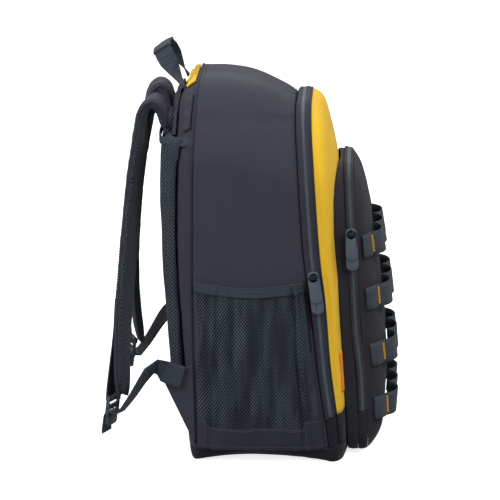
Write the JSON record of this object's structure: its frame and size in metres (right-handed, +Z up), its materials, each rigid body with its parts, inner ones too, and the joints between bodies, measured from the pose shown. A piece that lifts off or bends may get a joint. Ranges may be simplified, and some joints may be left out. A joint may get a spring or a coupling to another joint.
{
  "type": "tool backpack",
  "caption": "Tall padded tool backpack with a curved front pocket crossed by webbing loops, mesh side pockets, padded shoulder straps and a carry handle.",
  "frame": {"origin": "on the floor under the middle of the base", "axes": "+Z up, the wearer's back and the shoulder straps at +Y, the front pocket at -Y, the wearer's left at -X"},
  "size_m": [0.3452, 0.3634, 0.4983],
  "materials": {
    "charcoal_cloth": "dull plain-woven polyester",
    "slate_webbing": "ribbed nylon webbing and tape",
    "air_mesh": "knitted spacer and open mesh",
    "yellow_cloth": "dull plain-woven polyester",
    "orange_tape": "smooth woven tape",
    "grey_rubber": "satin moulded",
    "grey_plastic": "satin moulded",
    "dark_metal": "painted zip slider"
  },
  "bodies": {
    "root": {"side_panel_left": "charcoal_cloth", "side_panel_right": "charcoal_cloth", "top_panel": "charcoal_cloth", "base_panel": "charcoal_cloth", "back_panel": "charcoal_cloth", "back_pad": "air_mesh", "back_yoke": "charcoal_cloth", "strap_band": "slate_webbing", "top_strip": "yellow_cloth", "main_zip_band": "slate_webbing", "zip_foot_left": "charcoal_cloth", "zip_foot_right": "charcoal_cloth", "front_panel": "yellow_cloth", "front_kick": "charcoal_cloth", "pocket_gusset": "charcoal_cloth", "pocket_zip_band": "slate_webbing", "pocket_hem": "charcoal_cloth", "pocket_face": "charcoal_cloth", "webbing_row_1": "slate_webbing", "webbing_row_2": "slate_webbing", "webbing_row_3": "slate_webbing", "webbing_row_4": "slate_webbing", "side_pocket_hem_left": "charcoal_cloth", "side_pocket_hem_right": "charcoal_cloth", "side_pocket_mesh_left": "air_mesh", "side_pocket_mesh_right": "air_mesh", "side_pocket_elastic_left": "slate_webbing", "side_pocket_elastic_right": "slate_webbing", "shoulder_strap_left": "charcoal_cloth", "strap_tape_left": "slate_webbing", "ladder_lock_left": "grey_plastic", "lower_webbing_left": "slate_webbing", "shoulder_strap_right": "charcoal_cloth", "strap_tape_right": "slate_webbing", "ladder_lock_right": "grey_plastic", "lower_webbing_right": "slate_webbing", "lower_wing_left": "charcoal_cloth", "lower_wing_right": "charcoal_cloth", "handle_leg_left": "slate_webbing", "handle_leg_right": "slate_webbing", "handle_grip": "slate_webbing", "zip_flap_left": "charcoal_cloth", "zip_flap_right": "charcoal_cloth", "main_slider_upper": "dark_metal", "main_puller_upper": "grey_rubber", "main_slider_lower": "dark_metal", "main_puller_lower": "grey_rubber", "pocket_slider_upper": "dark_metal", "pocket_puller_upper": "grey_rubber", "pocket_slider_lower": "dark_metal", "pocket_puller_lower": "grey_rubber", "side_tag": "orange_tape"}
  },
  "joints": []
}
